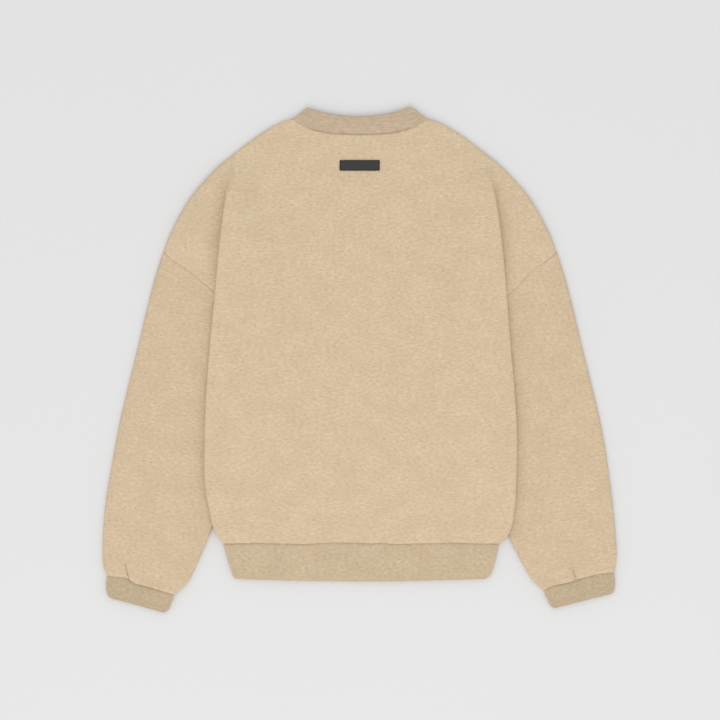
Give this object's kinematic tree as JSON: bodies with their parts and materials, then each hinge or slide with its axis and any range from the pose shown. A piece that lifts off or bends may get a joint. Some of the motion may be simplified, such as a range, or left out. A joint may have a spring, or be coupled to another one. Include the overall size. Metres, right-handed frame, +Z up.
{
  "type": "crewneck sweatshirt",
  "caption": "Crewneck sweatshirt in oatmeal fleece laid flat back side up, sleeves down beside the body, with rib hem, cuffs and collar and a small bare rubber label below the neck.",
  "frame": {"origin": "centre of the laid garment's outline, on the surface that it lies on", "axes": "+X across the garment to the sleeve on the right of the picture, +Y towards the neck, +Z up off the surface, out of the back panel"},
  "size_m": [0.7805, 0.7693, 0.0139],
  "materials": {
    "body_fleece": "brushed heather fleece, matt",
    "sleeve_fleece": "brushed heather fleece, matt",
    "rib_knit": "fine rib knit, matt",
    "label_rubber": "matt moulded rubber, bare"
  },
  "bodies": {
    "root": {"back_panel": "body_fleece", "front_panel": "body_fleece", "sleeve_left": "sleeve_fleece", "sleeve_right": "sleeve_fleece", "cuff_left": "rib_knit", "cuff_right": "rib_knit", "hem_rib": "rib_knit", "neck_rib": "rib_knit", "label_patch": "label_rubber"}
  },
  "joints": []
}
